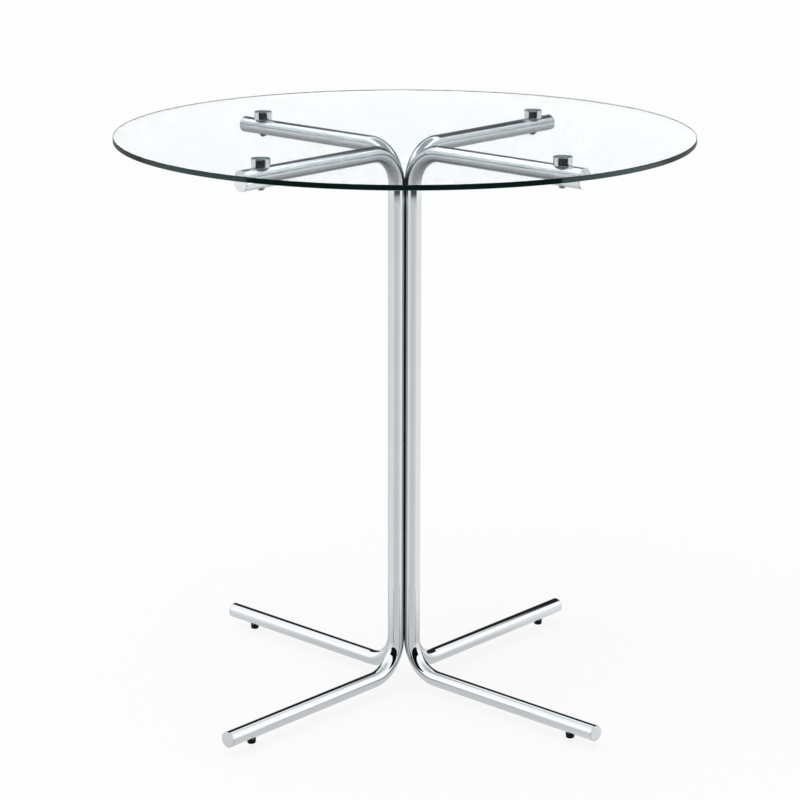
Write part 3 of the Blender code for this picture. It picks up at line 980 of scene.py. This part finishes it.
# How much of the floor's white takes shadow
FLOOR_SHADOW_SHARE = 0.15
# How far from the middle, in metres, the floor's levels are given
FLOOR_SPAN = 8.0
# The floor as chrome mirrors it from the open, painted light and shade, darker in the middle and in front and
# brighter towards the sides: (metres, level) from left to right, and near the table (sine of the bearing,
# level) round the post from its left to its right
FLOOR_ACROSS = [
    (-6, 1.3),
    (-4, 1.2),
    (-2.4, 0.98),
    (-1.4, 0.88),
    (-0.9, 0.75),
    (0.9, 0.75),
    (1.7, 1.05),
    (2.4, 1.12),
    (4, 1.5),
    (6, 2.0),
]
FLOOR_ROUND_POST = [
    (-1.0, 0.92),
    (-0.92, 1.03),
    (-0.77, 0.88),
    (-0.57, 0.8),
    (-0.34, 0.74),
    (0.0, 0.73),
    (0.34, 0.8),
    (0.57, 0.86),
    (0.77, 0.98),
    (0.91, 1.1),
    (1.0, 1.0),
]
# How much of the second the floor takes: (metres from the middle, share)
FLOOR_ROUND_SHARE = [(0.25, 0.0), (0.45, 1.0), (4.2, 1.0), (4.8, 0.0)]
# The floor as the arms mirror it through the glass, with the table's shadow painted in: (metres from the
# middle, level), lower near the middle, and less in a strip along Y, whose level rises to full between these
# two distances from its middle line
FLOOR_IN_ARMS = [
    (0.24, 0.95),
    (0.45, 1.1),
    (0.7, 1.3),
    (1.0, 1.3),
    (1.5, 1.45),
    (2.5, 1.68),
    (4.0, 1.9),
    (6.0, 2.4),
]
FLOOR_STRIP = (0.6, 1.9)
FLOOR_STRIP_LEVEL = 0.68

# The black cloth in front of the table, hung in an arc between two angles from -Y towards +X
CURTAIN_REACH = 4.13
CURTAIN_HEIGHT = 2.5
CURTAIN_LEFT = math.radians(-62)
CURTAIN_RIGHT = math.radians(56)
CURTAIN_FOLDS = 24
# Further from the middle than this angle it is lifted off the floor by its hem
CURTAIN_LIFTED = math.radians(42)
CURTAIN_HEM = 0.06
# The floor lights the hem: (height as a share of the hem, level)
HEM_LEVELS = [
    (0.0, 0.84),
    (0.12, 0.8),
    (0.25, 0.72),
    (0.37, 0.6),
    (0.46, 0.5),
    (0.56, 0.2),
    (0.72, 0.1),
    (1.0, 0.006),
]

# Painted shade between the tubes: the share of the mirrored light that is left after four mirrorings
CREVICE_LEVEL = 0.15

# A wide, soft lamp overhead and a little to the front left
LAMP_STRENGTH = 1.1
LAMP_SPREAD = math.radians(50)
LAMP_LEAN = (math.radians(12), math.radians(-14), 0)


def ray_kinds(tree):
    """Outputs for mirrored rays, soft light and rays that have passed the glass, each 0 or 1.

    The fourth is 1 only for rays that passed the glass on their way to the arms and again after them, and
    the last falls from 1 with each further mirroring.
    """
    path = add(tree, "LightPath")
    mirrored = add(tree, "Math", {0: path.outputs["Glossy Depth"], 1: 1.0}, operation="MINIMUM")
    soft = add(tree, "Math", {0: path.outputs["Diffuse Depth"], 1: 1.0}, operation="MINIMUM")
    behind_glass = add(tree, "Math", {0: path.outputs["Transmission Depth"], 1: 1.0}, operation="MINIMUM")
    passed_twice = add(
        tree,
        "MapRange",
        {"Value": path.outputs["Transmission Depth"], "From Min": 2.0, "From Max": 4.0},
    )
    # Painted shade between the tubes: the mirrored light falls with each mirroring past the first
    painted_crevice_shade = add(
        tree,
        "MapRange",
        {
            "Value": path.outputs["Glossy Depth"],
            "From Min": 1.0,
            "From Max": 4.0,
            "To Min": 1.0,
            "To Max": CREVICE_LEVEL,
        },
    )
    return mirrored, soft, behind_glass, passed_twice, painted_crevice_shade


def studio_world():
    """White all round for the eye; mirrored rays meet walls, a ceiling and one dark end wall."""
    world = bpy.data.worlds.new("studio")
    bpy.context.scene.world = world
    world.use_nodes = True
    tree = world.node_tree
    tree.nodes.clear()
    mirrored, soft, behind_glass, passed_twice, painted_crevice_shade = ray_kinds(tree)
    where = add(tree, "TexCoord")
    split = add(tree, "SeparateXYZ", {"Vector": where.outputs["Generated"]})
    wall = add(tree, "ValToRGB", {"Fac": split.outputs["Z"]}, WALL_LEVELS)
    wall_in_arms = add(tree, "ValToRGB", {"Fac": split.outputs["Z"]}, WALL_IN_ARMS)
    level = add(tree, "Mix", {0: passed_twice, 2: wall, 3: wall_in_arms}, data_type="FLOAT")
    heading = add(tree, "Math", {0: split.outputs["X"], 1: split.outputs["Y"]}, operation="ARCTAN2")
    aside = add(tree, "Math", {0: heading, 1: END_WALL_MIDDLE}, operation="SUBTRACT")
    off_middle = add(tree, "Math", {0: aside}, operation="ABSOLUTE")
    in_width = add(
        tree,
        "MapRange",
        {
            "Value": off_middle,
            "From Min": END_WALL_HALF - END_WALL_SOFT,
            "From Max": END_WALL_HALF + END_WALL_SOFT,
            "To Min": 1.0,
            "To Max": 0.0,
        },
        interpolation_type="SMOOTHSTEP",
    )
    height = add(
        tree,
        "Math",
        {0: passed_twice, 1: -END_WALL_RISE_IN_ARMS, 2: split.outputs["Z"]},
        operation="MULTIPLY_ADD",
    )
    under_top = add(
        tree,
        "MapRange",
        {
            "Value": height,
            "From Min": math.sin(END_WALL_TOP - END_WALL_TOP_SOFT),
            "From Max": math.sin(END_WALL_TOP + END_WALL_TOP_SOFT),
            "To Min": 1.0,
            "To Max": 0.0,
        },
        interpolation_type="SMOOTHSTEP",
    )
    over_foot = add(
        tree,
        "MapRange",
        {"Value": split.outputs["Z"], "From Min": END_WALL_FOOT[0], "From Max": END_WALL_FOOT[1]},
        interpolation_type="SMOOTHSTEP",
    )
    in_height = add(tree, "Math", {0: under_top, 1: over_foot}, operation="MULTIPLY")
    in_wall = add(tree, "Math", {0: in_width, 1: in_height}, operation="MULTIPLY")
    depth = add(
        tree,
        "MapRange",
        {"Value": passed_twice, "To Min": END_WALL_DEPTH, "To Max": END_WALL_DEPTH_IN_ARMS},
    )
    darkness = add(tree, "Math", {0: in_wall, 1: depth}, operation="MULTIPLY")
    left_over = add(tree, "Math", {0: 1.0, 1: darkness}, operation="SUBTRACT")
    end_wall = add(tree, "Math", {0: level, 1: left_over}, operation="MULTIPLY")
    mirrored_wall = add(tree, "Math", {0: end_wall, 1: painted_crevice_shade}, operation="MULTIPLY")
    straight = add(tree, "MapRange", {"Value": behind_glass, "To Min": 1.0, "To Max": BEHIND_GLASS})
    seen = add(tree, "Mix", {0: mirrored, 2: straight, 3: mirrored_wall}, data_type="FLOAT")
    strength = add(tree, "Mix", {0: soft, 2: seen, 3: SOFT_LIGHT_LEVEL}, data_type="FLOAT")
    sky = add(tree, "Background", {"Color": linear("#FFFFFF"), "Strength": strength})
    add(tree, "OutputWorld", {"Surface": sky})


def pale_floor():
    """Plain pale floor: white to the eye with a trace of shadow; in the metal, light grey with painted light
    and the table's painted shadow.
    """
    material, tree = blank_material("painted_studio_floor")
    mirrored, soft, behind_glass, _, painted_crevice_shade = ray_kinds(tree)
    where = add(tree, "TexCoord")
    split = add(tree, "SeparateXYZ", {"Vector": where.outputs["Object"]})
    across = add(
        tree,
        "MapRange",
        {"Value": split.outputs["X"], "From Min": -FLOOR_SPAN, "From Max": FLOOR_SPAN},
    )
    open_level = add(
        tree,
        "ValToRGB",
        {"Fac": across},
        [(0.5 + metres / FLOOR_SPAN / 2, level) for metres, level in FLOOR_ACROSS],
    )
    reach = add(tree, "VectorMath", {0: where.outputs["Object"]}, operation="LENGTH")
    outwards = add(tree, "MapRange", {"Value": reach.outputs["Value"], "From Max": FLOOR_SPAN})
    bearing = add(tree, "Math", {0: split.outputs["X"], 1: reach.outputs["Value"]}, operation="DIVIDE")
    turned_round = add(tree, "MapRange", {"Value": bearing, "From Min": -1.0})
    round_post = add(
        tree,
        "ValToRGB",
        {"Fac": turned_round},
        [(0.5 + sine / 2, level) for sine, level in FLOOR_ROUND_POST],
    )
    share = add(
        tree,
        "ValToRGB",
        {"Fac": outwards},
        [(metres / FLOOR_SPAN, level) for metres, level in FLOOR_ROUND_SHARE],
    )
    in_open = add(tree, "Mix", {0: share, 2: open_level, 3: round_post}, data_type="FLOAT")
    level_in_arms = add(
        tree,
        "ValToRGB",
        {"Fac": outwards},
        [(metres / FLOOR_SPAN, level) for metres, level in FLOOR_IN_ARMS],
    )
    aside = add(tree, "Math", {0: split.outputs["X"]}, operation="ABSOLUTE")
    strip = add(
        tree,
        "MapRange",
        {"Value": aside, "From Min": FLOOR_STRIP[0], "From Max": FLOOR_STRIP[1], "To Min": FLOOR_STRIP_LEVEL},
    )
    # Painted shadow of the table: a darker strip along Y
    painted_shadow_strip = add(tree, "Math", {0: level_in_arms, 1: strip}, operation="MULTIPLY")
    level = add(tree, "Mix", {0: behind_glass, 2: in_open, 3: painted_shadow_strip}, data_type="FLOAT")
    level_in_metal = add(tree, "Math", {0: level, 1: painted_crevice_shade}, operation="MULTIPLY")
    level_behind = add(
        tree,
        "ValToRGB",
        {"Fac": outwards},
        [(metres / FLOOR_SPAN, level) for metres, level in FLOOR_BEHIND_GLASS],
    )
    straight = add(tree, "Mix", {0: behind_glass, 2: 1.0, 3: level_behind}, data_type="FLOAT")
    paint = add(tree, "BsdfDiffuse", {"Color": linear("#F6F6F6")})
    white = add(tree, "Emission", {"Color": linear("#FFFFFF"), "Strength": straight})
    shaded_white = add(tree, "MixShader", {"Fac": FLOOR_SHADOW_SHARE, 1: white, 2: paint})
    # What the metal mirrors is painted light and shade: the table's shadow painted near the middle, brighter
    # to the sides
    picture = add(tree, "Emission", {"Color": linear("#FFFFFF"), "Strength": level_in_metal})
    seen = add(tree, "MixShader", {"Fac": mirrored, 1: shaded_white, 2: picture})
    whole = add(tree, "MixShader", {"Fac": soft, 1: seen, 2: paint})
    add(tree, "OutputMaterial", {"Surface": whole})
    return material


def black_flag_cloth():
    """Black cloth that only mirrored rays meet; it gives chrome and glass their dark lines.

    The floor lights its lower hem a little.
    """
    material, tree = blank_material("black_flag_cloth")
    mirrored, soft, _, _, _ = ray_kinds(tree)
    gone = add(tree, "BsdfTransparent")
    where = add(tree, "TexCoord")
    split = add(tree, "SeparateXYZ", {"Vector": where.outputs["Object"]})
    rise = add(tree, "MapRange", {"Value": split.outputs["Z"], "From Max": CURTAIN_HEM})
    hem = add(tree, "ValToRGB", {"Fac": rise}, HEM_LEVELS)
    cloth = add(tree, "Emission", {"Color": linear("#F6F7F9"), "Strength": hem})
    seen = add(tree, "MixShader", {"Fac": mirrored, 1: gone, 2: cloth})
    whole = add(tree, "MixShader", {"Fac": soft, 1: seen, 2: gone})
    add(tree, "OutputMaterial", {"Surface": whole})
    return material


def staged(name, points, faces, finish):
    """One sheet of the studio."""
    mesh = bpy.data.meshes.new(name)
    mesh.from_pydata(points, [], faces)
    mesh.materials.append(finish)
    sheet = bpy.data.objects.new(name, mesh)
    bpy.context.scene.collection.objects.link(sheet)
    return sheet


def curtain(finish):
    """Black cloth hung in a curve in front of the table; it throws no shadow."""
    points = []
    for step in range(CURTAIN_FOLDS + 1):
        angle = CURTAIN_LEFT + (CURTAIN_RIGHT - CURTAIN_LEFT) * step / CURTAIN_FOLDS
        x = CURTAIN_REACH * math.sin(angle)
        y = -CURTAIN_REACH * math.cos(angle)
        points += [(x, y, CURTAIN_HEM if abs(angle) > CURTAIN_LIFTED else 0.0), (x, y, CURTAIN_HEIGHT)]
    faces = [(2 * step, 2 * step + 2, 2 * step + 3, 2 * step + 1) for step in range(CURTAIN_FOLDS)]
    cloth = staged("curtain", points, faces, finish)
    cloth.visible_camera = False
    cloth.visible_diffuse = False
    cloth.visible_shadow = False


def build_studio():
    """Walls as the world, the floor, the cloth and one lamp that no mirror shows."""
    studio_world()
    corners = [(-1, -1), (1, -1), (1, 1), (-1, 1)]
    ground = [(x * FLOOR_HALF_SIDE, y * FLOOR_HALF_SIDE, FLOOR_HEIGHT) for x, y in corners]
    staged("floor", ground, [(0, 1, 2, 3)], pale_floor())
    curtain(black_flag_cloth())

    light = bpy.data.lights.new("soft_overhead", "SUN")
    light.energy = LAMP_STRENGTH
    light.angle = LAMP_SPREAD
    lamp = bpy.data.objects.new("soft_overhead", light)
    lamp.rotation_euler = LAMP_LEAN
    lamp.visible_glossy = False
    lamp.visible_transmission = False
    bpy.context.scene.collection.objects.link(lamp)


# Camera, solved from the rim, tube ends, pucks, feet and post edges of the photograph
CAMERA_PLACE = (-0.18287, -3.73149, 1.52071)
CAMERA_TURN = -0.04716
CAMERA_TILT = 0.27205
CAMERA_ROLL = 0.00181
CAMERA_LENS = 109.277
CAMERA_SENSOR = 36.0


def place_camera():
    """The photograph's camera: metres from the table's middle, turns in radians, lens and sensor in mm."""
    optics = bpy.data.cameras.new("photo_camera")
    optics.sensor_width = CAMERA_SENSOR
    optics.lens = CAMERA_LENS
    camera = bpy.data.objects.new("photo_camera", optics)
    turn = Matrix.Rotation(CAMERA_TURN, 4, "Z")
    tilt = Matrix.Rotation(math.pi / 2 - CAMERA_TILT, 4, "X")
    roll = Matrix.Rotation(CAMERA_ROLL, 4, "Z")
    camera.matrix_world = Matrix.Translation(CAMERA_PLACE) @ turn @ tilt @ roll
    bpy.context.scene.collection.objects.link(camera)
    bpy.context.scene.camera = camera


dress_table()
build_studio()
place_camera()
bpy.context.scene.view_settings.view_transform = "Standard"
